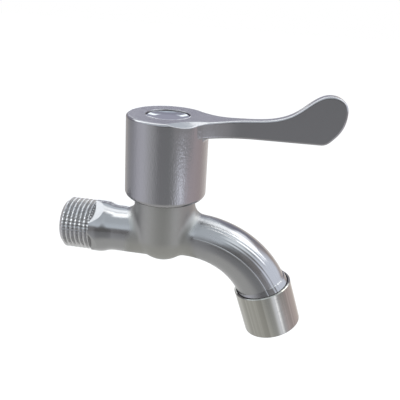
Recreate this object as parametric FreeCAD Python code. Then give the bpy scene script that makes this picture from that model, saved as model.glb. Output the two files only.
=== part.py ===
import FreeCAD, Part
import math
import os

# A wall tap for a mop sink: a cast stainless body with a male inlet thread, a quarter turn
# ceramic valve under a skirted lever handle, and a screwed on aerator at the end of a bent spout.
# Lengths are in millimetres. X runs along the inlet towards the spout, Z runs up the spindle.
# The origin is on the inlet axis where the full thread ends.

# Inlet thread, G 1/2, and the machined band behind it
thread_length = 12.5
thread_crest_radius = 10.4775
thread_depth = 1.162
thread_pitch = 1.814
thread_crest_width = 0.4
thread_root_width = 0.2
thread_lead_in = 1.5
band_length = 0.1
inlet_bore_radius = 6.0
inlet_mouth_chamfer = 0.8

# Wrench boss and inlet tube
boss_rise = 0.3825
boss_length = 2.4
boss_blend_length = 7.0
upper_flat_angle = 61.0
upper_flat_depth = 1.76
upper_flat_length = 6.0
lower_flat_angle = -21.0
lower_flat_depth = 1.26
lower_flat_length = 3.6
seam_turn = -20.0
tube_radius = 9.6

# Barrel that carries the valve
handle_x = 29.3
barrel_rim_wall = 1.0
barrel_top_z = 21.0
barrel_bottom_z = -10.7
barrel_edge_chamfer = 0.5
tube_blend_radius = 4.0
spout_blend_radius = 5.0

# Waterways in the barrel
seat_z = -3.0
partition_thickness = 2.0
chamber_gap = 1.0
chamber_wall = 2.2
seat_hole_radius = 4.2
lower_passage_width = 9.0
lower_passage_height = 3.2
lower_passage_start = 5.0
body_thread_step = 1.0
body_thread_depth = 9.0
seal_recess_width = 1.8
seal_recess_depth = 1.6

# Spout
spout_z = 1.0
spout_straight = 11.25
spout_bend_radius = 35.0
spout_angle = 70.5
spout_root_radius = 8.6
spout_tip_relief = 0.5
spout_bore_root_radius = 6.0
spout_bore_overlap = 1.9
nozzle_thread_radius = 10.9
nozzle_wall = 2.7
nozzle_length = 5.6
nozzle_shoulder_depth = 0.15
nozzle_flare_length = 2.6
nozzle_flare_taper = 0.95

# Aerator shell, and the stack inside it counted along its own axis
shell_wall = 0.97
shell_reach_back = 4.9
shell_rim_gap = 0.2
shell_seat_step = 0.6
shell_lip_hold = 0.4
shell_lip_thickness = 1.0
shell_edge_chamfer = 0.3
aerator_washer_thickness = 1.4
insert_flange_thickness = 1.0
insert_side_gap = 1.0
insert_wall = 0.9
insert_step = 0.5
insert_ledge_width = 0.4
insert_ledge_thickness = 0.6
mixing_gap = 0.9
insert_clearance = 0.1
jet_plate_thickness = 1.2
jet_hole_radius = 0.55
jet_hole_count = 16
jet_ring_radius = 6.2
screen_thickness = 0.5
screen_hole = 0.9
screen_pitch = 1.5
straightener_thickness = 2.4
straightener_hole = 1.5
straightener_pitch = 2.0

# Headwork housing
housing_bottom_gap = 0.4
housing_radius = 7.9
housing_bore_radius = 6.5
housing_neck_radius = 7.2
housing_seal_neck_step = 0.5
housing_hex_across_flats = 21.0
housing_hex_height = 5.0
housing_neck_height = 4.0
housing_crown_height = 2.0
housing_crown_wall = 1.6
window_sink = 2.4
window_height = 4.6
window_width = 7.0
housing_seal_cord_radius = 0.78

# Ceramic discs and the seal under them
seal_height = 3.2
seal_lip_height = 0.8
backing_ring_wall = 0.8
disc_clearance = 0.1
disc_thickness = 3.2
disc_lug_width = 3.0
disc_lug_reach = 0.7
port_inner_radius = 1.2
port_outer_radius = 5.2
port_angle = 80.0
key_height = 2.4
key_slot_width = 3.0
key_slot_depth = 1.4
key_clearance = 0.05

# Spindle, its seals and its clips
spindle_radius = 4.45
spindle_running_gap = 0.05
spindle_flange_radius = 6.3
spindle_flange_thickness = 3.2
glide_washer_thickness = 0.6
seal_groove_rise = 4.2
seal_groove_spacing = 5.0
seal_groove_width = 2.0
seal_groove_depth = 1.7
seal_ring_gap = 0.03
stop_flat_depth = 0.5
stop_washer_thickness = 1.5
stop_washer_lift = 0.2
stop_lug_angle = 40.0
stop_side_gap_angle = 1.0
quarter_turn = 90.0
circlip_thickness = 0.8
circlip_gap = 0.2
circlip_groove_depth = 0.75
circlip_side_gap = 0.15
circlip_opening = 4.0
spindle_shoulder_gap = 0.3
spline_radius = 3.9
spline_tooth_depth = 0.4
spline_teeth = 20
spline_length = 7.5
screw_radius = 2.0
screw_length = 9.4
screw_head_radius = 3.6
screw_head_height = 2.6
screw_socket_width = 3.0
screw_socket_depth = 1.6

# Handle skirt, hub and button
skirt_overlap = 3.0
skirt_bore_gap = 1.7
skirt_wall = 2.19
skirt_taper = 0.46
handle_roof = 3.4
skirt_bottom_rounding = 2.0
handle_edge_rounding = 1.0
hub_radius = 6.5
spline_bore_spare = 0.5
screw_head_clearance = 0.4
screw_hole_clearance = 0.15
screw_seat_wall = 2.4
button_gap = 0.4
button_radius = 8.35
button_clearance = 0.1
button_recess_depth = 3.6
button_height = 3.1
button_rim_width = 0.7
button_dish_depth = 1.5
button_dish_floor_radius = 5.0

# Lever, a thin upright blade that widens into a paddle
lever_reach = 64.5
lever_half_thickness = 2.05
lever_edge_rounding = 0.75
lever_flare_length = 17.87
lever_flare_sink = 0.4
lever_root_depth = 6.3
lever_belly_rise = 0.6
root_fillet_radius = 2.2
root_fillet_sink = 0.5
root_fillet_lift = 0.06
root_fillet_inset = 1.3
root_facet_radius = 21.6
root_facet_reach = 26.15
root_facet_inset = 0.06
root_facet_slope = 0.57
root_facet_tilt = 11.5
root_facet_level_x = 12.3
root_facet_spare = 1.5
paddle_length = 24.0
paddle_height = 17.6
neck_rise = 2.3

# Radii that follow from the sizes above
boss_radius = thread_crest_radius + boss_rise
chamber_radius = housing_radius + chamber_gap
body_thread_radius = chamber_radius + body_thread_step
housing_seal_neck_radius = body_thread_radius - housing_seal_neck_step
seal_recess_radius = housing_seal_neck_radius + seal_recess_width
barrel_radius = seal_recess_radius + barrel_rim_wall
crown_bore_radius = housing_neck_radius - housing_crown_wall
circlip_radius = crown_bore_radius - circlip_side_gap
skirt_bore_radius = barrel_radius + skirt_bore_gap
skirt_bottom_radius = skirt_bore_radius + skirt_wall
skirt_top_radius = skirt_bottom_radius - skirt_taper
lever_flare_end = skirt_top_radius + lever_flare_length
spout_tip_radius = nozzle_thread_radius - spout_tip_relief
spout_bore_tip_radius = nozzle_thread_radius - nozzle_wall
shell_radius = nozzle_thread_radius + shell_wall
shell_rim_bore = nozzle_thread_radius + shell_rim_gap
shell_inner_radius = nozzle_thread_radius - shell_seat_step
insert_radius = shell_inner_radius - insert_side_gap
shell_lip_radius = insert_radius - shell_lip_hold
insert_upper_bore = insert_radius - insert_wall
insert_lower_bore = insert_upper_bore - insert_step
insert_ledge_bore = insert_lower_bore - insert_ledge_width

spout_bore_start = chamber_radius - spout_bore_overlap

# Heights that follow from the sizes above
fixed_disc_z = seat_z + seal_height
moving_disc_z = fixed_disc_z + disc_thickness
disc_top_z = moving_disc_z + disc_thickness
window_bottom_z = disc_top_z - window_sink
window_top_z = window_bottom_z + window_height
spindle_flange_bottom_z = disc_top_z + key_height
spindle_flange_top_z = spindle_flange_bottom_z + spindle_flange_thickness
housing_shoulder_z = spindle_flange_top_z + glide_washer_thickness
seal_groove_lower_z = housing_shoulder_z + seal_groove_rise
housing_hex_top_z = barrel_top_z + housing_hex_height
housing_neck_top_z = housing_hex_top_z + housing_neck_height
crown_top_z = housing_neck_top_z + housing_crown_height
stop_washer_z = housing_neck_top_z + stop_washer_lift
circlip_z = stop_washer_z + stop_washer_thickness + circlip_gap
spindle_shoulder_z = circlip_z + circlip_thickness + spindle_shoulder_gap
spline_top_z = spindle_shoulder_z + spline_length
spline_bore_top_z = spline_top_z + spline_bore_spare
screw_seat_z = spline_bore_top_z + screw_seat_wall
screw_head_top_z = screw_seat_z + screw_head_height
button_seat_z = screw_head_top_z + button_gap
handle_top_z = button_seat_z + button_recess_depth
skirt_ceiling_z = button_seat_z - handle_roof
skirt_bottom_z = barrel_top_z - skirt_overlap

# Distances below the rim of the aerator shell that follow from the sizes above
washer_top = shell_reach_back + nozzle_length
flange_top = washer_top + aerator_washer_thickness
flange_bottom = flange_top + insert_flange_thickness
plate_bottom = flange_bottom + jet_plate_thickness
straightener_top = plate_bottom + mixing_gap
straightener_bottom = straightener_top + straightener_thickness
lip_top = straightener_bottom + insert_ledge_thickness
shell_length = lip_top + shell_lip_thickness

up = FreeCAD.Vector(0, 0, 1)
forward = FreeCAD.Vector(1, 0, 0)
handle_foot = FreeCAD.Vector(handle_x, 0, 0)


def ring(outer, inner, low, high):
    """A ring round the handle axis between two heights, or a disc where inner is 0."""
    solid = Part.makeCylinder(outer, high - low, handle_foot + up * low)
    if inner > 0:
        solid = solid.cut(Part.makeCylinder(inner, high - low, handle_foot + up * low))
    return solid


def turned_about_handle(points):
    """The solid turned round the handle axis from (radius, height) corners."""
    corners = [FreeCAD.Vector(handle_x + radius, 0, height) for radius, height in points]
    face = Part.Face(Part.makePolygon(corners + [corners[0]]))
    return face.revolve(handle_foot, up, 360)


def box_on_handle_axis(length, width, low, high):
    """A box centred on the handle axis, length along X and width along Y."""
    corner = handle_foot + FreeCAD.Vector(-length / 2, -width / 2, low)
    return Part.makeBox(length, width, high - low, corner)


def sector(inner, outer, start_angle, end_angle, low, high):
    """A slice of a ring round the handle axis."""
    turn = end_angle - start_angle
    solid = Part.makeCylinder(outer, high - low, handle_foot + up * low, up, turn)
    if inner > 0:
        solid = solid.cut(Part.makeCylinder(inner, high - low, handle_foot + up * low))
    solid.rotate(handle_foot, up, start_angle)
    return solid


def hexagon_bar(across_flats, low, high):
    """A hexagonal bar on the handle axis between two heights."""
    corner_radius = across_flats / 2 / math.cos(math.radians(30))
    corners = []
    for corner in range(7):
        angle = math.radians(60 * corner)
        offset = FreeCAD.Vector(math.cos(angle), math.sin(angle), 0)
        corners.append(handle_foot + offset * corner_radius + up * low)
    return Part.Face(Part.makePolygon(corners)).extrude(up * (high - low))


def edges_at_height(solid, height):
    """The level edges of a solid at one height."""
    found = []
    for edge in solid.Edges:
        span = edge.BoundBox
        if abs(span.ZMin - height) < 0.001 and abs(span.ZMax - height) < 0.001:
            found.append(edge)
    return found


def arc_through(start, middle, end):
    return Part.Arc(start, middle, end).toShape()


def keep(shape, name):
    shape = shape.removeSplitter()
    shape.exportStep("parts/" + name + ".step")
    solids = len(shape.Solids)
    print(name, "solids", solids, "valid", shape.isValid(), "volume", round(shape.Volume, 2))


# Spout centre line: level, then one arc down to the aerator axis
bend_start = FreeCAD.Vector(handle_x + spout_straight, 0, spout_z)
bend_centre = bend_start - up * spout_bend_radius
aerator_direction = FreeCAD.Vector(
    math.cos(math.radians(spout_angle)), 0, -math.sin(math.radians(spout_angle))
)


def on_bend(angle):
    turn = math.radians(angle)
    offset = FreeCAD.Vector(math.sin(turn), 0, math.cos(turn))
    return bend_centre + offset * spout_bend_radius


bend_end = on_bend(spout_angle)
shell_rim = bend_end - aerator_direction * shell_reach_back


def along_aerator(distance):
    """The point on the aerator's axis this far below the rim of its shell."""
    return shell_rim + aerator_direction * distance


def aerator_ring(outer, inner, start, end):
    """A ring on the aerator's axis between two distances below the rim."""
    height = end - start
    solid = Part.makeCylinder(outer, height, along_aerator(start), aerator_direction)
    if inner > 0:
        bore = Part.makeCylinder(inner, height, along_aerator(start), aerator_direction)
        solid = solid.cut(bore)
    return solid


def bent_pipe(start_x, start_radius, end_radius):
    """A tapering round bar along the spout from start_x beyond the handle axis to the bend's end."""
    start = FreeCAD.Vector(handle_x + start_x, 0, spout_z)
    level = Part.makeLine(start, bend_start)
    bend = arc_through(bend_start, on_bend(spout_angle / 2), bend_end)
    path = Part.Wire([level, bend])
    first = Part.Wire(Part.makeCircle(start_radius, start, forward))
    last = Part.Wire(Part.makeCircle(end_radius, bend_end, aerator_direction))
    return path.makePipeShell([first, last], True, False)


def inlet_thread():
    """The threaded end of the inlet, with one closed groove for each pitch of the thread."""
    root = thread_crest_radius - thread_depth
    lead_radius = thread_crest_radius - thread_lead_in
    points = [(-thread_length, 0), (-thread_length, lead_radius)]
    x = -thread_length + thread_lead_in
    points.append((x, thread_crest_radius))
    groove_width = thread_pitch - thread_crest_width
    slope = (groove_width - thread_root_width) / 2
    while x + thread_pitch <= 0:
        x += thread_crest_width
        points.append((x, thread_crest_radius))
        points.append((x + slope, root))
        points.append((x + slope + thread_root_width, root))
        x += groove_width
        points.append((x, thread_crest_radius))
    points.append((band_length, thread_crest_radius))
    points.append((band_length, 0))
    corners = [FreeCAD.Vector(along, 0, radius) for along, radius in points]
    face = Part.Face(Part.makePolygon(corners + [corners[0]]))
    return face.revolve(FreeCAD.Vector(), forward, 360)


def wrench_flat(angle, depth, length):
    """A wedge that leaves one flat, deepest at the thread, facing this angle above the front."""
    distance = boss_radius - depth
    turn = math.radians(angle)
    outward = FreeCAD.Vector(0, -math.cos(turn), math.sin(turn))
    side_ways = outward.cross(forward)
    start = forward * band_length
    far = 2 * boss_radius
    corners = [
        start + outward * distance,
        start + forward * length + outward * boss_radius,
        start + forward * length + outward * far,
        start + outward * far,
        start + outward * distance,
    ]
    wedge = Part.Face(Part.makePolygon(corners))
    wedge.translate(side_ways * -far)
    return wedge.extrude(side_ways * (2 * far))


def wrench_boss():
    """The round boss behind the thread, which runs down into the inlet tube."""
    drop = boss_radius - tube_radius
    blend_radius = (boss_blend_length**2 + drop**2) / (4 * drop)
    turn = math.asin(boss_blend_length / 2 / blend_radius)
    blend_x = band_length + boss_length
    end_x = blend_x + boss_blend_length
    half_drop = blend_radius * (1 - math.cos(turn / 2))
    half_run = blend_radius * math.sin(turn / 2)
    foot = FreeCAD.Vector(band_length, 0, 0)
    front = FreeCAD.Vector(band_length, 0, boss_radius)
    blend_start = FreeCAD.Vector(blend_x, 0, boss_radius)
    upper = FreeCAD.Vector(blend_x + half_run, 0, boss_radius - half_drop)
    middle = FreeCAD.Vector(blend_x + boss_blend_length / 2, 0, (boss_radius + tube_radius) / 2)
    lower = FreeCAD.Vector(end_x - half_run, 0, tube_radius + half_drop)
    blend_end = FreeCAD.Vector(end_x, 0, tube_radius)
    inner_end = FreeCAD.Vector(end_x, 0, 0)
    edges = [
        Part.makeLine(foot, front),
        Part.makeLine(front, blend_start),
        arc_through(blend_start, upper, middle),
        arc_through(middle, lower, blend_end),
        Part.makeLine(blend_end, inner_end),
        Part.makeLine(inner_end, foot),
    ]
    return Part.Face(Part.Wire(edges)).revolve(FreeCAD.Vector(), forward, 360)


def wrench_flats():
    """Two pairs of opposite flats, cut into the boss."""
    flats = []
    for opposite in (0, 180):
        flats.append(wrench_flat(upper_flat_angle + opposite, upper_flat_depth, upper_flat_length))
        flats.append(wrench_flat(lower_flat_angle + opposite, lower_flat_depth, lower_flat_length))
    return flats


def barrel():
    """The upright barrel with a round bottom."""
    round_centre_z = barrel_bottom_z + barrel_radius
    bottom = Part.makeSphere(barrel_radius, handle_foot + up * round_centre_z, forward)
    return ring(barrel_radius, 0, round_centre_z, barrel_top_z).fuse(bottom)


def waterways():
    """Everything the water and the headwork take out of the body."""
    inlet_end_x = handle_x - chamber_radius - chamber_wall
    inlet_start = FreeCAD.Vector(-thread_length, 0, 0)
    spaces = [Part.makeCylinder(inlet_bore_radius, inlet_end_x + thread_length, inlet_start, forward)]
    mouth_radius = inlet_bore_radius + inlet_mouth_chamfer
    mouth = Part.makeCone(mouth_radius, inlet_bore_radius, inlet_mouth_chamfer, inlet_start, forward)
    spaces.append(mouth)
    passage_top = seat_z - partition_thickness
    passage_start = inlet_end_x - lower_passage_start
    passage = Part.makeBox(
        handle_x - passage_start,
        lower_passage_width,
        lower_passage_height,
        FreeCAD.Vector(passage_start, -lower_passage_width / 2, passage_top - lower_passage_height),
    )
    spaces.append(passage)
    spaces.append(ring(lower_passage_width / 2, 0, passage_top - lower_passage_height, passage_top))
    spaces.append(ring(seat_hole_radius, 0, passage_top, seat_z))
    spaces.append(ring(chamber_radius, 0, seat_z, barrel_top_z))
    thread_bottom = barrel_top_z - seal_recess_depth - body_thread_depth
    spaces.append(ring(body_thread_radius, 0, thread_bottom, barrel_top_z))
    spaces.append(ring(seal_recess_radius, 0, barrel_top_z - seal_recess_depth, barrel_top_z))
    spaces.append(bent_pipe(spout_bore_start, spout_bore_root_radius, spout_bore_tip_radius))
    nozzle_bore = Part.makeCylinder(spout_bore_tip_radius, nozzle_length, bend_end, aerator_direction)
    spaces.append(nozzle_bore)
    return spaces


def joint_line(solid, low_x, high_x):
    """The edges along which a round branch runs into the round barrel."""
    found = []
    for edge in solid.Edges:
        span = edge.BoundBox
        inside = span.XMin > low_x and span.XMax < high_x
        if inside and span.XLength > 0.2 and span.YLength > 3 and len(edge.Vertexes) == 2:
            if abs(span.ZLength) > 0.2:
                found.append(edge)
    return found


def nozzle_flare():
    """The spout's end widens to the thread, so it fills the shell's mouth."""
    foot = along_aerator(nozzle_shoulder_depth)
    thin_radius = nozzle_thread_radius - nozzle_flare_taper
    away = aerator_direction * -1
    return Part.makeCone(nozzle_thread_radius, thin_radius, nozzle_flare_length, foot, away)


def tap_body():
    """The one piece casting: thread, boss, tube, barrel and spout with its nozzle."""
    tube_start = band_length + boss_length
    tube_foot = FreeCAD.Vector(tube_start, 0, 0)
    tube = Part.makeCylinder(tube_radius, handle_x - tube_start, tube_foot, forward)
    casting = barrel().fuse(tube)
    seam = joint_line(casting, handle_x - barrel_radius - 1, handle_x)
    casting = casting.makeFillet(tube_blend_radius, seam)
    casting = casting.fuse(bent_pipe(0, spout_root_radius, spout_tip_radius))
    seam = joint_line(casting, handle_x + barrel_radius / 2, handle_x + barrel_radius + 1)
    casting = casting.makeFillet(spout_blend_radius, seam)
    rim = edges_at_height(casting, barrel_top_z)
    casting = casting.makeChamfer(barrel_edge_chamfer, rim)
    nozzle = aerator_ring(nozzle_thread_radius, 0, nozzle_shoulder_depth, washer_top)
    nozzle = nozzle.fuse(nozzle_flare())
    inlet_end = wrench_boss().fuse(inlet_thread())
    inlet_end.rotate(FreeCAD.Vector(), forward, seam_turn)
    inlet_end = inlet_end.cut(wrench_flats())
    return casting.fuse([inlet_end, nozzle]).cut(waterways())


# Headwork: the screwed in valve under the handle

def headwork_housing():
    """The brass housing that screws into the barrel, with the stop crown on its neck."""
    bottom_z = seat_z + housing_bottom_gap
    thread_top_z = barrel_top_z - seal_recess_depth
    thread_bottom_z = thread_top_z - body_thread_depth
    housing = ring(housing_radius, 0, bottom_z, thread_bottom_z)
    housing = housing.fuse([
        ring(body_thread_radius, 0, thread_bottom_z, thread_top_z),
        ring(housing_seal_neck_radius, 0, thread_top_z, barrel_top_z),
        hexagon_bar(housing_hex_across_flats, barrel_top_z, housing_hex_top_z),
        ring(housing_neck_radius, 0, housing_hex_top_z, crown_top_z),
    ])
    spindle_bore = spindle_radius + spindle_running_gap
    housing = housing.cut([
        ring(housing_bore_radius, 0, bottom_z, housing_shoulder_z),
        ring(spindle_bore, 0, housing_shoulder_z, crown_top_z),
        ring(crown_bore_radius, 0, housing_neck_top_z, crown_top_z),
        box_on_handle_axis(4 * housing_radius, window_width, window_bottom_z, window_top_z)
        .common(ring(housing_radius + 1, 0, window_bottom_z, window_top_z)),
    ])
    return housing.cut(stop_gaps() + [disc_lugs(disc_lug_width + 2 * disc_clearance, bottom_z)])


def stop_gaps():
    """The two openings in the crown that the stop washer's lugs swing through."""
    before = stop_lug_angle / 2 + stop_side_gap_angle
    after = quarter_turn + stop_lug_angle / 2 + stop_side_gap_angle
    return [
        sector(0, housing_neck_radius + 1, start - before, start + after,
               housing_neck_top_z, crown_top_z)
        for start in (0, 180)
    ]


def disc_lugs(width, low):
    """Two lugs at either side of the fixed disc, which also shape their slots in the housing."""
    length = 2 * (housing_bore_radius + disc_lug_reach)
    return box_on_handle_axis(width, length, low, moving_disc_z)


def ports(turn, low, high):
    """The two quarter openings of a ceramic disc."""
    return [
        sector(
            port_inner_radius, port_outer_radius,
            side + turn - port_angle / 2, side + turn + port_angle / 2, low, high,
        )
        for side in (0, 180)
    ]


def fixed_disc():
    disc = ring(housing_bore_radius - disc_clearance, 0, fixed_disc_z, moving_disc_z)
    disc = disc.fuse(disc_lugs(disc_lug_width, fixed_disc_z))
    return disc.cut(ports(0, fixed_disc_z, moving_disc_z))


def moving_disc():
    """Shut at rest: its openings stand a quarter turn from those of the fixed disc."""
    disc = ring(housing_bore_radius - 3 * disc_clearance, 0, moving_disc_z, disc_top_z)
    key_slot = box_on_handle_axis(
        4 * housing_bore_radius, key_slot_width, disc_top_z - key_slot_depth, disc_top_z
    )
    return disc.cut(ports(quarter_turn, moving_disc_z, disc_top_z) + [key_slot])


def disc_seal():
    """The rubber under the fixed disc, with a lip that seals on the body's seat."""
    outer = housing_bore_radius - disc_clearance
    lip = ring(outer, seat_hole_radius, seat_z, seat_z + seal_lip_height)
    inner = seat_hole_radius + backing_ring_wall
    return lip.fuse(ring(outer, inner, seat_z + seal_lip_height, fixed_disc_z))


def seal_backing_ring():
    outer = seat_hole_radius + backing_ring_wall
    return ring(outer, seat_hole_radius, seat_z + seal_lip_height, fixed_disc_z)


def housing_seal():
    """The O-ring squeezed between the hexagon and the recess in the barrel's top."""
    middle = (housing_seal_neck_radius + seal_recess_radius) / 2
    height = barrel_top_z - seal_recess_depth / 2
    return Part.makeTorus(middle, housing_seal_cord_radius, handle_foot + up * height, up)


# Spindle and what turns with it

def splined_bar(low, high):
    """A toothed bar, used for the spindle's end and for the handle's bore alike."""
    corners = []
    step = 360 / spline_teeth
    for tooth in range(spline_teeth):
        for share, radius in ((0.1, spline_radius - spline_tooth_depth), (0.4, spline_radius),
                              (0.6, spline_radius), (0.9, spline_radius - spline_tooth_depth)):
            angle = math.radians((tooth + share) * step)
            offset = FreeCAD.Vector(math.cos(angle), math.sin(angle), 0)
            corners.append(handle_foot + offset * radius + up * low)
    return Part.Face(Part.makePolygon(corners + [corners[0]])).extrude(up * (high - low))


def double_flat_bar(low, high):
    """The stretch of the spindle with two flats that drives the stop washer."""
    flats = box_on_handle_axis(4 * spindle_radius, 2 * (spindle_radius - stop_flat_depth), low, high)
    return ring(spindle_radius, 0, low, high).common(flats)


def spindle():
    key_bottom_z = disc_top_z - key_slot_depth + key_clearance
    key_width = key_slot_width - 2 * key_clearance
    key = box_on_handle_axis(
        4 * spindle_flange_radius, key_width, key_bottom_z, spindle_flange_bottom_z
    ).common(ring(port_outer_radius, 0, key_bottom_z, spindle_flange_bottom_z))
    bar = ring(spindle_flange_radius, 0, spindle_flange_bottom_z, spindle_flange_top_z).fuse([
        key,
        ring(spindle_radius, 0, spindle_flange_top_z, housing_neck_top_z),
        double_flat_bar(housing_neck_top_z, spindle_shoulder_z),
        splined_bar(spindle_shoulder_z, spline_top_z),
    ])
    groove_floor = spindle_radius - seal_groove_depth
    spaces = [
        ring(spindle_radius + 1, groove_floor, height, height + seal_groove_width)
        for height in seal_groove_heights()
    ]
    clip_floor = spindle_radius - circlip_groove_depth
    spaces.append(ring(spindle_radius + 1, clip_floor, circlip_z, circlip_z + circlip_thickness))
    tapping_end_z = screw_seat_z - screw_length - 1
    spaces.append(ring(screw_radius, 0, tapping_end_z, spline_top_z))
    return bar.cut(spaces)


def seal_groove_heights():
    return seal_groove_lower_z, seal_groove_lower_z + seal_groove_spacing


def spindle_seal(groove_z):
    """One O-ring in its groove, just clear of the housing's bore."""
    cord_radius = (seal_groove_depth + spindle_running_gap - 2 * seal_ring_gap) / 2
    middle = spindle_radius + spindle_running_gap - seal_ring_gap - cord_radius
    height = groove_z + seal_groove_width / 2
    return Part.makeTorus(middle, cord_radius, handle_foot + up * height, up)


def glide_washer():
    return ring(spindle_flange_radius, spindle_radius, spindle_flange_top_z, housing_shoulder_z)


def stop_washer():
    """The washer whose two lugs meet the crown at either end of the quarter turn."""
    low = stop_washer_z
    high = low + stop_washer_thickness
    washer = ring(crown_bore_radius - disc_clearance, 0, low, high)
    lugs = [
        sector(0, housing_neck_radius, start - stop_lug_angle / 2, start + stop_lug_angle / 2,
               low, high)
        for start in (0, 180)
    ]
    return washer.fuse(lugs).cut(double_flat_bar(low, high))


def circlip():
    low, high = circlip_z, circlip_z + circlip_thickness
    clip = ring(circlip_radius, spindle_radius - circlip_groove_depth, low, high)
    opening = Part.makeBox(
        circlip_radius + 1, circlip_opening, high - low,
        handle_foot + FreeCAD.Vector(0, -circlip_opening / 2, low),
    )
    return clip.cut(opening)


def handle_screw():
    """A pan head screw with a hexagon socket, down the middle of the spindle."""
    shank = ring(screw_radius, 0, screw_seat_z - screw_length, screw_seat_z)
    head = ring(screw_head_radius, 0, screw_seat_z, screw_head_top_z)
    socket = hexagon_bar(screw_socket_width, screw_head_top_z - screw_socket_depth, screw_head_top_z)
    return shank.fuse(head).cut(socket)


def index_button():
    """A dished plug that covers the screw."""
    low = button_seat_z
    high = low + button_height
    rim = button_radius - button_rim_width
    floor_z = high - button_dish_depth
    return turned_about_handle([
        (0, low), (button_radius, low), (button_radius, high), (rim, high),
        (button_dish_floor_radius, floor_z), (0, floor_z),
    ])


# Lever handle

def skirt():
    """The outside of the handle's round skirt, slightly wider at its foot, with rounded edges."""
    solid = turned_about_handle([
        (0, skirt_bottom_z), (skirt_bottom_radius, skirt_bottom_z),
        (skirt_top_radius, handle_top_z), (0, handle_top_z),
    ])
    solid = solid.makeFillet(skirt_bottom_rounding, edges_at_height(solid, skirt_bottom_z))
    return solid.makeFillet(handle_edge_rounding, edges_at_height(solid, handle_top_z))


def lever_side_outline():
    """The lever seen from the side: a straight belly, a shallow neck and a raised round paddle."""
    reach = handle_x + lever_reach
    root_x = handle_x + skirt_top_radius / 2
    belly_z = handle_top_z - lever_root_depth
    low_z = belly_z + lever_belly_rise
    peak_z = low_z + paddle_height
    neck_x = reach - paddle_length
    shape = [
        (handle_x + skirt_bottom_radius, handle_top_z),
        (neck_x - 0.5 * paddle_length, handle_top_z + 0.35 * neck_rise),
        (neck_x, handle_top_z + neck_rise),
        (neck_x + 0.22 * paddle_length, peak_z - 0.42 * paddle_height),
        (neck_x + 0.45 * paddle_length, peak_z - 0.17 * paddle_height),
        (neck_x + 0.66 * paddle_length, peak_z),
        (neck_x + 0.86 * paddle_length, peak_z - 0.02 * paddle_height),
        (neck_x + 0.97 * paddle_length, peak_z - 0.15 * paddle_height),
        (reach, peak_z - 0.35 * paddle_height),
        (neck_x + 0.95 * paddle_length, low_z + 0.33 * paddle_height),
        (neck_x + 0.84 * paddle_length, low_z + 0.12 * paddle_height),
        (neck_x + 0.68 * paddle_length, low_z),
    ]
    points = [FreeCAD.Vector(x, 0, z) for x, z in shape]
    top = Part.BSplineCurve()
    top.interpolate(Points=points, InitialTangent=forward, FinalTangent=FreeCAD.Vector(-1, 0, -0.03))
    root_low = FreeCAD.Vector(root_x, 0, belly_z)
    root_high = FreeCAD.Vector(root_x, 0, handle_top_z)
    edges = [
        Part.makeLine(root_high, points[0]),
        top.toShape(),
        Part.makeLine(points[-1], root_low),
        Part.makeLine(root_low, root_high),
    ]
    return Part.Face(Part.Wire(edges))


def lever_plan_bar(inset):
    """A tall bar of the lever's plan: flares tangent to the skirt run out into a thin blade."""
    half = lever_half_thickness - inset
    end = lever_flare_end
    touch_radius = skirt_top_radius - lever_flare_sink - inset
    flare = (end**2 + half**2 - touch_radius**2) / (2 * (touch_radius - half))
    centre = FreeCAD.Vector(end, half + flare, 0)
    touch = centre * (touch_radius / (touch_radius + flare))
    inner = touch * 0.7
    start_angle = math.atan2(touch.y - centre.y, touch.x - centre.x)
    middle_angle = (start_angle - math.pi / 2) / 2
    bulge = FreeCAD.Vector(math.cos(middle_angle), math.sin(middle_angle), 0)
    middle = centre + bulge * flare
    neck = FreeCAD.Vector(end, half, 0)
    tip = FreeCAD.Vector(lever_reach + 1, half, 0)

    def at(point, side):
        return FreeCAD.Vector(handle_x + point.x, side * point.y, 0)

    edges = [
        arc_through(at(touch, 1), at(middle, 1), at(neck, 1)),
        Part.makeLine(at(neck, 1), at(tip, 1)),
        Part.makeLine(at(tip, 1), at(tip, -1)),
        Part.makeLine(at(tip, -1), at(neck, -1)),
        arc_through(at(neck, -1), at(middle, -1), at(touch, -1)),
        Part.makeLine(at(touch, -1), at(inner, -1)),
        Part.makeLine(at(inner, -1), at(inner, 1)),
        Part.makeLine(at(inner, 1), at(touch, 1)),
    ]
    plan = Part.Face(Part.Wire(edges))
    plan.translate(up * skirt_bottom_z)
    return plan.extrude(up * 4 * skirt_top_radius)


def root_fillet():
    """The hollow rounding between the lever's belly and the skirt, as a full ring."""
    belly_z = handle_top_z - lever_root_depth + root_fillet_lift
    wall = skirt_top_radius
    inner = handle_x + wall - root_fillet_sink
    outer = handle_x + wall + root_fillet_radius
    low_z = belly_z - root_fillet_radius
    high_z = belly_z + root_fillet_sink
    curve = root_fillet_radius * math.sqrt(0.5)
    ends = [(outer, belly_z), (handle_x + wall, low_z), (inner, low_z), (inner, high_z), (outer, high_z)]
    corners = [FreeCAD.Vector(x, 0, z) for x, z in ends]
    middle = FreeCAD.Vector(outer - curve, 0, low_z + curve)
    rounding = arc_through(corners[0], middle, corners[1])
    sides = Part.makePolygon(corners[1:] + [corners[0]])
    face = Part.Face(Part.Wire([rounding] + sides.Edges))
    return face.revolve(handle_foot, up, 360)


def root_facet():
    """A shallow cone whose edge takes the corner off the front of the lever's root."""
    top_radius = root_facet_radius * root_facet_spare
    away = lever_half_thickness - root_facet_inset + root_facet_radius
    depth = root_facet_slope * root_facet_radius
    apex = FreeCAD.Vector(handle_x + root_facet_reach, -away, handle_top_z - depth)
    cone = Part.makeCone(0, top_radius, root_facet_slope * top_radius, apex, up)
    level = FreeCAD.Vector(handle_x + root_facet_level_x, 0, handle_top_z)
    cone.rotate(level, FreeCAD.Vector(0, 1, 0), -root_facet_tilt)
    return cone


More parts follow.
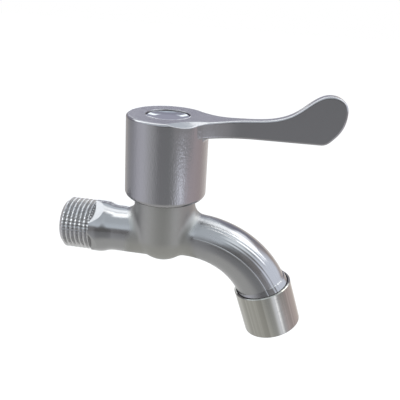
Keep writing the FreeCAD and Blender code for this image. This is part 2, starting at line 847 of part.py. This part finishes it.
def lever():
    depth = 4 * skirt_top_radius
    side = lever_side_outline()
    side.translate(FreeCAD.Vector(0, -depth / 2, 0))
    blade = side.extrude(FreeCAD.Vector(0, depth, 0)).common(lever_plan_bar(0))
    long_edges = [
        edge for edge in blade.Edges
        if edge.BoundBox.XLength > 1 and edge.BoundBox.XMax > handle_x + skirt_bottom_radius
    ]
    blade = blade.makeFillet(lever_edge_rounding, long_edges)
    return blade.fuse(root_fillet().common(lever_plan_bar(root_fillet_inset)))


def lever_handle():
    """Skirt and lever in one casting, hollow round the headwork, with a splined hub."""
    casting = skirt().fuse(lever()).cut(root_facet())
    hub = ring(hub_radius, 0, spindle_shoulder_z, skirt_ceiling_z)
    head_hole = screw_head_radius + screw_head_clearance
    casting = casting.cut(ring(skirt_bore_radius, 0, skirt_bottom_z, skirt_ceiling_z)).fuse(hub)
    return casting.cut([
        splined_bar(spindle_shoulder_z, spline_bore_top_z),
        ring(screw_radius + screw_hole_clearance, 0, spline_bore_top_z, screw_seat_z),
        ring(head_hole, 0, screw_seat_z, button_seat_z),
        ring(button_radius + button_clearance, 0, button_seat_z, handle_top_z),
    ])


# Aerator

def aerator_shell():
    """The turned cup nut, open above with a narrow gap round the spout's end."""
    shell = aerator_ring(shell_radius, 0, 0, shell_length)
    ends = [edge for edge in shell.Edges if len(edge.Vertexes) == 1]
    shell = shell.makeChamfer(shell_edge_chamfer, ends)
    return shell.cut([
        aerator_ring(shell_rim_bore, 0, 0, shell_reach_back),
        aerator_ring(nozzle_thread_radius, 0, shell_reach_back, washer_top),
        aerator_ring(shell_inner_radius, 0, washer_top, lip_top),
        aerator_ring(shell_lip_radius, 0, lip_top, shell_length),
    ])


def aerator_washer():
    return aerator_ring(shell_inner_radius, spout_bore_tip_radius, washer_top, flange_top)


def aerator_insert():
    """The plastic cup that holds the jet plate above and the straightener below."""
    flange = aerator_ring(shell_inner_radius - insert_clearance, 0, flange_top, flange_bottom)
    cup = flange.fuse(aerator_ring(insert_radius, 0, flange_bottom, lip_top))
    return cup.cut([
        aerator_ring(insert_upper_bore, 0, flange_top, plate_bottom),
        aerator_ring(insert_lower_bore, 0, plate_bottom, straightener_bottom),
        aerator_ring(insert_ledge_bore, 0, straightener_bottom, lip_top),
    ])


def square_holes(hole, pitch, reach, start, end):
    """Square holes in rows, all of them inside a circle of this reach."""
    rows = int(reach // pitch)
    side_ways = aerator_direction.cross(FreeCAD.Vector(0, 1, 0))
    cross_ways = FreeCAD.Vector(0, 1, 0)
    holes = []
    for row in range(-rows, rows + 1):
        for column in range(-rows, rows + 1):
            far = math.hypot(abs(row) * pitch + hole / 2, abs(column) * pitch + hole / 2)
            if far > reach:
                continue
            corner = along_aerator(start) + side_ways * (row * pitch - hole / 2)
            corner = corner + cross_ways * (column * pitch - hole / 2)
            corners = [
                corner,
                corner + side_ways * hole,
                corner + side_ways * hole + cross_ways * hole,
                corner + cross_ways * hole,
                corner,
            ]
            face = Part.Face(Part.makePolygon(corners))
            holes.append(face.extrude(aerator_direction * (end - start)))
    return holes


def aerator_screen():
    """The flat mesh on top of the jet plate that catches grit."""
    start = flange_bottom - screen_thickness
    plate = aerator_ring(insert_upper_bore - insert_clearance, 0, start, flange_bottom)
    reach = insert_ledge_bore - insert_clearance
    return plate.cut(square_holes(screen_hole, screen_pitch, reach, start, flange_bottom))


def jet_plate():
    """The plate that breaks the water into a ring of jets."""
    plate = aerator_ring(insert_upper_bore - insert_clearance, 0, flange_bottom, plate_bottom)
    side_ways = aerator_direction.cross(FreeCAD.Vector(0, 1, 0))
    holes = []
    for jet in range(jet_hole_count):
        angle = 2 * math.pi * jet / jet_hole_count
        offset = side_ways * math.cos(angle) + FreeCAD.Vector(0, 1, 0) * math.sin(angle)
        place = along_aerator(flange_bottom) + offset * jet_ring_radius
        holes.append(Part.makeCylinder(jet_hole_radius, jet_plate_thickness, place, aerator_direction))
    return plate.cut(holes)


def flow_straightener():
    """The honeycomb at the outlet."""
    outer = insert_lower_bore - insert_clearance
    plate = aerator_ring(outer, 0, straightener_top, straightener_bottom)
    reach = insert_ledge_bore - insert_clearance
    return plate.cut(square_holes(
        straightener_hole, straightener_pitch, reach, straightener_top, straightener_bottom
    ))


pieces = {
    "tap_body": tap_body,
    "headwork_housing": headwork_housing,
    "housing_seal": housing_seal,
    "fixed_disc": fixed_disc,
    "disc_seal": disc_seal,
    "seal_backing_ring": seal_backing_ring,
    "moving_disc": moving_disc,
    "spindle": spindle,
    "glide_washer": glide_washer,
    "stop_washer": stop_washer,
    "circlip": circlip,
    "lever_handle": lever_handle,
    "handle_screw": handle_screw,
    "index_button": index_button,
    "aerator_shell": aerator_shell,
    "aerator_washer": aerator_washer,
    "aerator_insert": aerator_insert,
    "aerator_screen": aerator_screen,
    "jet_plate": jet_plate,
    "flow_straightener": flow_straightener,
}

os.makedirs("parts", exist_ok=True)
for name, make in pieces.items():
    keep(make(), name)
for name, groove_z in zip(("lower_spindle_seal", "upper_spindle_seal"), seal_groove_heights()):
    keep(spindle_seal(groove_z), name)
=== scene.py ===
import bpy
import math
from mathutils import Matrix, Vector


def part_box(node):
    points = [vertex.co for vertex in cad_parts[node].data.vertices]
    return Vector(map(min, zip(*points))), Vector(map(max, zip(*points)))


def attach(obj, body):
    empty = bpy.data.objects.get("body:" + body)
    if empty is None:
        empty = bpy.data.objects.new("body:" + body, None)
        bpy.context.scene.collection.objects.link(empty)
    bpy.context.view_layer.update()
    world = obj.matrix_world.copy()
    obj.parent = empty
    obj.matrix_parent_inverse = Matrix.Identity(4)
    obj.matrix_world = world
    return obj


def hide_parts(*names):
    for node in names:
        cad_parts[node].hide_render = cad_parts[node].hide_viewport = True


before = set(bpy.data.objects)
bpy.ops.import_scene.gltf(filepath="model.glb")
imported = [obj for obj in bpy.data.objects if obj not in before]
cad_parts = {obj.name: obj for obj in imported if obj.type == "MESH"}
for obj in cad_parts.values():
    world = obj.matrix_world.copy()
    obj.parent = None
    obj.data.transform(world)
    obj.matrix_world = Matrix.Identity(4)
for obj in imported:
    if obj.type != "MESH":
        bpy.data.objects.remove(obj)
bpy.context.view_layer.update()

# The view: a short lens close to the tap, a little above it and turned slightly to its right,
# as the strong perspective of the photograph has it.
mm = 0.001
camera_distance = 186.02
looked_at = Vector((43.444, 0, 16.84))
camera_lens = bpy.data.cameras.new("camera")
camera_lens.sensor_fit = "HORIZONTAL"
camera_lens.sensor_width = 36
camera_lens.lens = 42.02
camera_lens.clip_start = 0.01
camera_lens.clip_end = 60
camera = bpy.data.objects.new("camera", camera_lens)
bpy.context.scene.collection.objects.link(camera)
camera_right = Vector((0.98595, 0.15522, 0.06170))
camera_back = Vector((0.11879, -0.91125, 0.39434)).normalized()
camera_up = camera_back.cross(camera_right).normalized()
camera_right = camera_up.cross(camera_back)
camera_turn = Matrix((camera_right, camera_up, camera_back)).transposed()
camera_place = looked_at + camera_back * camera_distance
camera.matrix_world = Matrix.Translation(camera_place * mm) @ camera_turn.to_4x4()
bpy.context.scene.camera = camera


# The room: a white paper sweep under and behind the tap, walls in soft upright bands of grey,
# a window and white cards that bright metal picks up, and a pale ceiling with three long lamps.
sweep_colour = (0.74, 0.73, 0.70)
dark_corner_colour = (0.48, 0.46, 0.47)
wall_strip_colour = (2.2, 2.25, 2.5)
window_colour = (1.75, 1.85, 2.10)
far_wall_colour = (0.56, 0.56, 0.68)
white_card_colour = (2.3, 2.4, 2.5)
ceiling_edge_colour = (1.45, 1.58, 1.74)
ceiling_colour = (1.15, 1.25, 1.36)
lamp_panel_colour = (2.1, 2.25, 2.4)
skylight_colour = (2.5, 2.6, 2.8)
# The walls round the tap, by the angle in degrees from the front towards the right.
wall_colours = [
    (-180, (0.80, 0.75, 0.72)),
    (-152, (0.36, 0.33, 0.30)),
    (-136, (0.55, 0.50, 0.46)),
    (-120, (0.45, 0.43, 0.44)),
    (-102, (0.42, 0.41, 0.45)),
    (-90, (0.54, 0.54, 0.61)),
    (-72, (0.94, 0.93, 1.05)),
    (-54, (1.06, 1.06, 1.18)),
    (-36, (0.80, 0.80, 0.84)),
    (-22, (0.56, 0.56, 0.58)),
    (-10, (0.29, 0.28, 0.29)),
    (20, (0.28, 0.28, 0.28)),
    (28, (0.36, 0.36, 0.37)),
    (38, (0.80, 0.81, 0.86)),
    (48, (1.36, 1.40, 1.60)),
    (60, (1.02, 1.04, 1.18)),
    (76, (0.88, 0.74, 0.80)),
    (120, (0.74, 0.58, 0.57)),
    (142, (0.92, 0.80, 0.74)),
    (180, (0.85, 0.80, 0.75)),
]


class Value:
    """A socket that can be added, multiplied and so on, each time through a Math node."""

    def __init__(self, tree, socket):
        self.tree = tree
        self.socket = socket

    def maths(self, operation, first, second=0.0):
        return node(self.tree, "Math", {"operation": operation}, {0: first, 1: second})

    def __add__(self, other):
        return self.maths("ADD", self, other)

    def __radd__(self, other):
        return self.maths("ADD", other, self)

    def __sub__(self, other):
        return self.maths("SUBTRACT", self, other)

    def __rsub__(self, other):
        return self.maths("SUBTRACT", other, self)

    def __mul__(self, other):
        return self.maths("MULTIPLY", self, other)

    def __rmul__(self, other):
        return self.maths("MULTIPLY", other, self)

    def __truediv__(self, other):
        return self.maths("DIVIDE", self, other)

    def __pow__(self, other):
        return self.maths("POWER", self, other)

    def __abs__(self):
        return self.maths("ABSOLUTE", self)

    def at_least(self, lowest):
        return self.maths("MAXIMUM", self, lowest)

    def cosine(self):
        return self.maths("COSINE", self)

    def angle_from(self, ahead):
        """The angle in radians of a point this far to the side and so far ahead."""
        return self.maths("ARCTAN2", self, ahead)

    def between(self, low, high):
        """0 up to low and 1 from high, smooth between them; low may be the larger one."""
        return node(self.tree, "MapRange", {"interpolation_type": "SMOOTHSTEP"},
                    {"Value": self, "From Min": low, "From Max": high})

    def within(self, start, full, still_full, end):
        """1 from full to still_full, and smoothly down to 0 at start and at end."""
        return self.between(start, full) * self.between(end, still_full)


def node(tree, kind, settings, inputs, output=0):
    """Adds one shader node, sets its settings, then its sockets, and gives its output if it has one."""
    made = tree.nodes.new("ShaderNode" + kind)
    for name, setting in settings.items():
        if name == "stops":
            ramp = made.color_ramp
            while len(ramp.elements) < len(setting):
                ramp.elements.new(0.5)
            for stop, (position, colour) in zip(ramp.elements, setting):
                stop.position = position
                stop.color = (*colour, 1)
        else:
            setattr(made, name, setting)
    for name, given in inputs.items():
        if isinstance(given, Value):
            tree.links.new(given.socket, made.inputs[name])
        elif made.inputs[name].type == "RGBA":
            made.inputs[name].default_value = (*given, 1)
        else:
            made.inputs[name].default_value = given
    return Value(tree, made.outputs[output]) if made.outputs else None


def mix_colour(tree, share, first, second):
    """The first colour, turned into the second by this share, from 0 to 1."""
    # A Mix node's colour sockets go by number, because those for numbers have the same names.
    return node(tree, "Mix", {"data_type": "RGBA"}, {0: share, 6: first, 7: second}, 2)


def split(tree, vector):
    """The X, Y and Z of a vector."""
    return [node(tree, "SeparateXYZ", {}, {"Vector": vector}, axis) for axis in "XYZ"]


def room_colour(tree, direction):
    """What metal reflects from the room in this direction, seen from the tap."""
    x, y, z = split(tree, direction)
    turn = x.angle_from(0.0 - y)
    stops = [((degrees + 180) / 360, colour) for degrees, colour in wall_colours]
    level = node(tree, "ValToRGB", {"stops": stops}, {"Fac": turn / (2 * math.pi) + 0.5})

    # Each patch goes by its edges in a unit vector: x to the right, y to the back, z up.
    sweep = z.between(-0.39, -0.72)
    dark_corner = x.between(0.38, 0.55) * y.between(0.10, -0.20) * z.between(-0.280, -0.250)
    wall_strip = turn.within(0.84, 0.93, 0.99, 1.08) * z.within(-0.42, -0.37, -0.30, -0.275)
    window = x.between(0.64, 0.88) * z.between(-0.10, 0.04)
    back = y.between(-0.3, 0.5)
    far_wall = back * z.between(0.08, 0.16) * x.between(0.80, 0.45)
    # Two cards hang high on the left, and one lower between them.
    cards_high = x.within(-0.50, -0.42, -0.25, -0.21) + x.within(-0.18, -0.14, -0.08, -0.02)
    card_low = x.within(-0.45, -0.38, -0.19, -0.14) * z.within(-0.20, -0.14, 0.09, 0.13)
    white_cards = (cards_high * z.within(0.29, 0.34, 0.40, 0.44) + card_low) * back
    for share, colour in (
        (sweep, sweep_colour),
        (dark_corner, dark_corner_colour),
        (wall_strip, wall_strip_colour),
        (window, window_colour),
        (far_wall, far_wall_colour),
        (white_cards, white_card_colour),
    ):
        level = mix_colour(tree, share, level, colour)

    # The ceiling starts higher behind the tap than in front, and more softly on the right.
    over_walls = z - (back * 0.28 + 0.30)
    soft_edge = x.between(0.05, 0.45) * 0.4 + 0.05
    lamp_panel = x.between(0.25, 0.5) * z.between(0.50, 0.62) * y.between(0.1, -0.2)
    skylight = x.between(0.38, 0.50) * y.between(0.0, 0.2) * z.between(0.46, 0.62)
    ceiling = mix_colour(tree, over_walls.between(0.1, 0.5), ceiling_edge_colour, ceiling_colour)
    ceiling = mix_colour(tree, lamp_panel, ceiling, lamp_panel_colour)
    level = mix_colour(tree, over_walls.between(-0.03, soft_edge), level, ceiling)
    return mix_colour(tree, skylight, level, skylight_colour)


room = bpy.data.worlds.new("room")
room.use_nodes = True
tree = room.node_tree
tree.nodes.clear()
camera_ray = node(tree, "LightPath", {}, {}, "Is Camera Ray")
direction = node(tree, "TexCoord", {}, {}, "Generated")
colour = mix_colour(tree, camera_ray, room_colour(tree, direction), (1, 1, 1))
background = node(tree, "Background", {}, {"Color": colour, "Strength": 1.0})
node(tree, "OutputWorld", {}, {"Surface": background})
bpy.context.scene.world = room

floor_depth = -0.35
floor_size = 16
floor_middle_x = 0.04
paper_colour = (0.9, 0.9, 0.9)
paper_glow = 0.9
paper_matt_colour = (0.16, 0.16, 0.16)
bpy.ops.object.select_all(action="DESELECT")
bpy.ops.mesh.primitive_plane_add(size=floor_size, location=(floor_middle_x, 0, floor_depth))
floor = bpy.context.object
floor.name = "floor"
paper = bpy.data.materials.new("white_paper")
paper.use_nodes = True
tree = paper.node_tree
tree.nodes.clear()
from_tap = node(tree, "TexCoord", {}, {}, "Object")
from_tap = node(tree, "VectorMath", {"operation": "ADD"}, {0: from_tap, 1: (0, 0, floor_depth)})
direction = node(tree, "VectorMath", {"operation": "NORMALIZE"}, {0: from_tap})
camera_ray = node(tree, "LightPath", {}, {}, "Is Camera Ray")
colour = mix_colour(tree, camera_ray, room_colour(tree, direction), paper_colour)
glow = node(tree, "Emission", {}, {"Color": colour, "Strength": paper_glow})
matt = node(tree, "BsdfDiffuse", {}, {"Color": paper_matt_colour})
both = node(tree, "AddShader", {}, {0: glow, 1: matt})
node(tree, "OutputMaterial", {}, {"Surface": both})
floor.data.materials.append(paper)

bpy.context.scene.view_settings.view_transform = "Standard"


def ceiling_lamp(name, angle, width, radiance, length, middle_x):
    """A long soft lamp along X that level metal mirrors at this angle over the front."""
    lamp_height = 1.2
    light = bpy.data.lights.new(name, "AREA")
    light.shape = "RECTANGLE"
    light.size = length
    light.size_y = width
    # An area lamp of this many watts shows as a surface of this radiance.
    light.energy = radiance * math.pi * length * width
    lamp = bpy.data.objects.new(name, light)
    bpy.context.scene.collection.objects.link(lamp)
    place = Vector((middle_x, -lamp_height / math.tan(math.radians(angle)), lamp_height))
    away = Vector((0, place.y, place.z)).normalized()
    along = Vector((1, 0, 0))
    face = Matrix((along, away.cross(along), away)).transposed()
    lamp.matrix_world = Matrix.Translation(place) @ face.to_4x4()


ceiling_lamp("lamp_row_back", angle=115, width=0.40, radiance=1.8, length=5.0, middle_x=0.4)
ceiling_lamp("lamp_row_left", angle=90, width=0.50, radiance=2.7, length=2.6, middle_x=-1.5)
ceiling_lamp("lamp_row_right", angle=96, width=0.28, radiance=3.2, length=3.2, middle_x=1.4)


# The body: one stainless casting, screwed into the wall by its inlet thread. The tube and the
# spout are buffed bright on a belt, the barrel is left satin, and the thread is cut on a lathe,
# glossier and with the tool's chatter; its colour is painted lighter, as painted light over the shade in
# its grooves.
handle_x = 29.3
barrel_radius = 12.2
tube_radius = 9.6
spout_bend_x = 40.55
spout_bend_z = -34.0
spout_bend_radius = 35.0
buffed_colour = (0.28, 0.28, 0.28)
satin_colour = (0.285, 0.283, 0.265)
thread_colour_with_painted_light = (0.46, 0.46, 0.46)
buffed_roughness = 0.13
satin_roughness = 0.46
thread_roughness = 0.12
spout_start_roughness = 0.18
under_spout_roughness = 0.10
inlet_tube_roughness = 0.06
patch_roughness = 0.08
spout_wave_height = 0.03
inlet_wave_height = 0.05
grain_height = 0.0004
chatter_height = 0.12
bead_height = 0.20
beads_round_thread = 46.0
bead_wander = 4.0
flute_height = 0.034
flute_spacing = 1.35
parting_line_height = 0.10
body_worn_edge = 0.7


def start_material(name, colour, metallic=1):
    """A new finish: its material, its tree, its shader, and the place on the piece in millimetres."""
    made = bpy.data.materials.new(name)
    made.use_nodes = True
    tree = made.node_tree
    shader = tree.nodes["Principled BSDF"]
    shader.inputs["Base Color"].default_value = (*colour, 1)
    shader.inputs["Metallic"].default_value = metallic
    place = node(tree, "TexCoord", {}, {}, "Object")
    place = node(tree, "VectorMath", {"operation": "SCALE"}, {0: place, "Scale": 1 / mm})
    return made, tree, shader, place


def noise(tree, place, scale, detail=2.0, stretch=None):
    """Cloudy unevenness between 0 and 1, with this many patches per millimetre."""
    if stretch:
        place = node(tree, "VectorMath", {"operation": "MULTIPLY"}, {0: place, 1: stretch})
    return node(tree, "TexNoise", {}, {"Vector": place, "Scale": scale, "Detail": detail})


def feed(tree, shader, name, value):
    """Links what varies over the surface to one of the shader's sockets."""
    tree.links.new(value.socket, shader.inputs[name])


def raise_surface(tree, shader, height, worn_edge=0):
    """Bends the light as relief of this height, and edges worn to this radius, would; both in mm."""
    relief = {"Strength": 1.0, "Distance": mm, "Height": height}
    if worn_edge:
        relief["Normal"] = node(tree, "Bevel", {"samples": 8}, {"Radius": worn_edge * mm})
    feed(tree, shader, "Normal", node(tree, "Bump", {}, relief))


def give(names, material):
    """Puts one material on CAD nodes that keep their shape."""
    for name in names:
        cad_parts[name].data.materials.clear()
        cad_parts[name].data.materials.append(material)


def distance(first, second):
    """How far a point lies from an axis, by its two places across that axis."""
    return (first ** 2.0 + second ** 2.0) ** 0.5


cast_steel, tree, shader, place = start_material("cast_steel", buffed_colour)
x, y, z = split(tree, place)
waves = noise(tree, place, 0.22, 1.0)
patches = noise(tree, place, 0.5, 3.0)
grain = noise(tree, place, 5.0, 2.0)
chatter = noise(tree, place, 0.9, 2.0, (0.5, 1.0, 1.0))

# The finishes follow one another by places in millimetres and by angles in radians.
# The satin runs out from the barrel on to the tube and the spout, less far on top of them.
satin_reach = z.between(5.0, 0.0) * 2.0 + 0.8
satin = distance(x - handle_x, y) - satin_reach
satin = satin.between(barrel_radius + 2.8, barrel_radius - 0.2)

# Rows of small bright beads run along the thread. The pipe's end face stays plain, and so does
# its bore, where 70 and 76 are the squares of radii of 8.4 and 8.7 mm.
thread = x.between(0.5, 0.0)
beaded = thread * x.between(-12.3, -11.9) * (y ** 2.0 + z ** 2.0).between(70.0, 76.0)
round_thread = z.angle_from(0.0 - y)
beads = (round_thread * beads_round_thread + chatter * bead_wander).cosine()
beads = beads * beaded * (round_thread.between(0.1, 0.5) * 0.75 + 0.25)

# The polishing belt leaves long flutes on the outside of the bend, from the barrel to the shell,
# and leaves the mould's parting line beside them.
from_bend_axis = distance((x - spout_bend_x).at_least(0.0), z - spout_bend_z)
side = abs((0.0 - y).angle_from(from_bend_axis - spout_bend_radius))
on_belt = side.within(0.40, 0.55, 0.85, 1.08) * x.between(40.0, 54.0)
flutes = (side * (2 * math.pi * tube_radius / flute_spacing)).cosine() * on_belt
parting_line = side.within(1.23, 1.26, 1.26, 1.29) * x.between(42.0, 46.0)

# The thread's lighter colour is painted light that lifts the shade in its grooves.
colour = mix_colour(tree, thread, buffed_colour, thread_colour_with_painted_light)
colour = mix_colour(tree, satin, colour, satin_colour)
feed(tree, shader, "Base Color", colour)

under_spout = side.between(0.85, 1.25) * x.between(38.0, 44.0)
on_tube = x.within(0.5, 1.0, 17.0, 21.0)
spout_start = x.within(42.0, 44.0, 46.0, 56.0)
roughness = (
    satin * (satin_roughness - buffed_roughness)
    + thread * (thread_roughness - buffed_roughness)
    + under_spout * under_spout_roughness
    + on_tube * inlet_tube_roughness
    + spout_start * spout_start_roughness
    + (patches - 0.5) * patch_roughness
    + buffed_roughness
)
feed(tree, shader, "Roughness", roughness)

height = (
    waves * (x.between(20.0, 14.0) * inlet_wave_height + spout_wave_height)
    + grain * grain_height
    + chatter * beaded * chatter_height
    + beads * bead_height
    + flutes * flute_height
    + parting_line * parting_line_height
)
raise_surface(tree, shader, height, x.between(13.0, 17.0) * body_worn_edge)
give(["tap_body"], cast_steel)


# The working parts inside: a turned brass housing and spindle, lapped ceramic discs that shut the
# water off, rubber seals, moulded plastic rings and plain steel clips. The handle's screw and what
# the aerator holds are of the same stuff. All of it is dropped in, screwed in or clipped on.
def vary_roughness(tree, shader, pattern, lowest, span):
    """Lets the roughness follow a pattern between 0 and 1, from the lowest up over this span."""
    feed(tree, shader, "Roughness", pattern * span + lowest)


brass, tree, shader, place = start_material("brass", (0.66, 0.50, 0.24))
turning = noise(tree, place, 3.0, 2.0, (0.2, 0.2, 1.0))
vary_roughness(tree, shader, turning, lowest=0.22, span=0.2)
raise_surface(tree, shader, turning * 0.004)
give(["headwork_housing", "spindle"], brass)

rubber, tree, shader, place = start_material("rubber", (0.03, 0.03, 0.03), metallic=0)
vary_roughness(tree, shader, noise(tree, place, 2.0), lowest=0.55, span=0.2)
raise_surface(tree, shader, noise(tree, place, 4.0) * 0.01)
give(["housing_seal", "disc_seal", "lower_spindle_seal", "upper_spindle_seal", "aerator_washer"], rubber)

ceramic, tree, shader, place = start_material("ceramic", (0.86, 0.84, 0.80), metallic=0)
vary_roughness(tree, shader, noise(tree, place, 1.5), lowest=0.2, span=0.1)
give(["fixed_disc", "moving_disc"], ceramic)

plastic, tree, shader, place = start_material("white_plastic", (0.80, 0.80, 0.79), metallic=0)
vary_roughness(tree, shader, noise(tree, place, 1.0), lowest=0.35, span=0.15)
raise_surface(tree, shader, noise(tree, place, 3.0) * 0.004)
give(["seal_backing_ring", "glide_washer", "aerator_insert", "jet_plate", "flow_straightener"], plastic)

clip_steel, tree, shader, place = start_material("clip_steel", (0.40, 0.40, 0.40))
vary_roughness(tree, shader, noise(tree, place, 2.0), lowest=0.2, span=0.2)
give(["stop_washer", "circlip", "handle_screw", "aerator_screen"], clip_steel)


# The lever handle: a stainless casting, skirt and lever in one, polished and then brushed
# lightly along the skirt, so it mirrors the room in soft upright bands. A screw holds it down
# on the spindle.
handle_roughness = 0.17
hairline_roughness = 0.16
cloud_roughness = 0.06
hairline_height = 0.010
speck_height = 0.06
cloud_height = 0.02
handle_worn_edge = 0.5
brushed_steel, tree, shader, place = start_material("brushed_steel", (0.275, 0.272, 0.275))
x, y, z = split(tree, place)
from_handle_axis = distance(x - handle_x, y)
lever_lines = noise(tree, place, 2.2, 3.0, (1.0, 1.0, 0.3))
skirt_lines = noise(tree, place, 1.8, 3.0, (1.0, 1.0, 0.04))
hairlines = lever_lines + (skirt_lines - lever_lines) * from_handle_axis.between(17.5, 16.8)
# Small casting specks show on the skirt's wall, below the lever.
on_skirt = from_handle_axis.within(14.8, 15.2, 16.2, 16.6) * z.between(48.5, 47.0)
specks = noise(tree, place, 2.0, 1.0, (1.0, 1.0, 0.45)) * on_skirt
clouds = noise(tree, place, 0.25, 2.0)
roughness = (hairlines - 0.5) * hairline_roughness + (clouds - 0.5) * cloud_roughness + handle_roughness
feed(tree, shader, "Roughness", roughness)
height = hairlines * hairline_height + specks * speck_height + clouds * cloud_height
raise_surface(tree, shader, height, handle_worn_edge)
give(["lever_handle"], brushed_steel)


# The button: a bright plug with a shallow dish, turned from bar and pressed in over the handle's
# screw. Its rim is rolled over, and the wall of the dish is a little hollow.
button_low, button_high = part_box("index_button")
button_radius = (button_high[0] - button_low[0]) / 2
button_x = handle_x * mm
button_rounding = 0.12
# From the rim inwards, the radius and the depth below the top in millimetres.
dish_profile = ((8.35, 0), (7.9, 0), (7.5, 0.12), (6.0, 0.42), (4.9, 0.58), (3.9, 0.62), (2.5, 0.62))
bpy.ops.object.select_all(action="DESELECT")
bpy.ops.mesh.primitive_circle_add(vertices=96, radius=button_radius, location=(button_x, 0, button_low[2]))
button = bpy.context.object
button.name = "index_button_dished"
button.data.name = "index_button_dished"
bpy.ops.object.transform_apply(location=True, rotation=False, scale=False)
bpy.ops.object.mode_set(mode="EDIT")
bpy.ops.mesh.select_all(action="SELECT")
bpy.ops.mesh.edge_face_add()
bpy.ops.mesh.select_mode(type="EDGE")
bpy.ops.mesh.select_all(action="SELECT")
# Ring by ring up the side, in over the rim and down into the dish, which a flat floor closes.
ring_radius = button_radius
ring_z = button_low[2]
for radius, depth in dish_profile:
    z = button_high[2] - depth * mm
    bpy.ops.mesh.extrude_edges_move(TRANSFORM_OT_translate={"value": (0, 0, z - ring_z)})
    growth = radius * mm / ring_radius
    bpy.ops.transform.resize(value=(growth, growth, 1), center_override=(button_x, 0, z))
    ring_radius = radius * mm
    ring_z = z
bpy.ops.mesh.edge_face_add()
bpy.ops.mesh.select_all(action="SELECT")
bpy.ops.mesh.remove_doubles(threshold=0.000001)
bpy.ops.mesh.normals_make_consistent(inside=False)
bpy.ops.object.mode_set(mode="OBJECT")
rounding = button.modifiers.new("rounding", "BEVEL")
rounding.width = button_rounding * mm
rounding.segments = 3
rounding.limit_method = "ANGLE"
rounding.angle_limit = math.radians(25)
bpy.ops.object.modifier_apply(modifier="rounding")
bpy.ops.object.shade_smooth_by_angle(angle=math.radians(35))
button.modifiers.new("flats", "WEIGHTED_NORMAL").keep_sharp = True
bpy.ops.object.modifier_apply(modifier="flats")
polished_chrome, tree, shader, place = start_material("polished_chrome", (0.36, 0.375, 0.39))
vary_roughness(tree, shader, noise(tree, place, 0.8), lowest=0.05, span=0.06)
raise_surface(tree, shader, noise(tree, place, 0.35) * 0.02)
button.data.materials.append(polished_chrome)
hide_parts("index_button")
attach(button, "handle")


# The aerator shell: a cup nut turned from stainless bar and screwed on to the spout's end, with
# the lathe's fine rings round it, and darker and lighter streaks along it: partly polishing marks, partly
# painted reflection of the room's bands.
spout_angle = math.radians(70.5)
# The shell's axis passes this far from the origin.
shell_axis_offset = 61.9
dark_streak_and_reflection_colour = (0.26, 0.255, 0.23)
light_streak_and_reflection_colour = (0.36, 0.355, 0.325)
ring_height = 0.012


def noise_along(tree, way, scale, detail):
    """Uneven stripes between 0 and 1 across this one way over the surface."""
    return node(tree, "TexNoise", {"noise_dimensions": "1D"}, {"W": way, "Scale": scale, "Detail": detail})


turned_steel, tree, shader, place = start_material("turned_steel", (0.31, 0.305, 0.28))
x, y, z = split(tree, place)
along_shell = x * math.cos(spout_angle) - z * math.sin(spout_angle)
across_shell = x * math.sin(spout_angle) + z * math.cos(spout_angle) - shell_axis_offset
round_shell = across_shell.angle_from(0.0 - y)
rings = noise_along(tree, along_shell, 3.0, 2.0)
streaks_and_reflections = noise_along(tree, round_shell, 4.0, 3.0)
# Painted reflection: the light and dark streaks in the shell's colour partly stand for the room's bands
# mirrored in it.
colour = mix_colour(tree, streaks_and_reflections.between(0.35, 0.65), dark_streak_and_reflection_colour, light_streak_and_reflection_colour)
feed(tree, shader, "Base Color", colour)
vary_roughness(tree, shader, rings, lowest=0.02, span=0.06)
raise_surface(tree, shader, rings * ring_height)
give(["aerator_shell"], turned_steel)
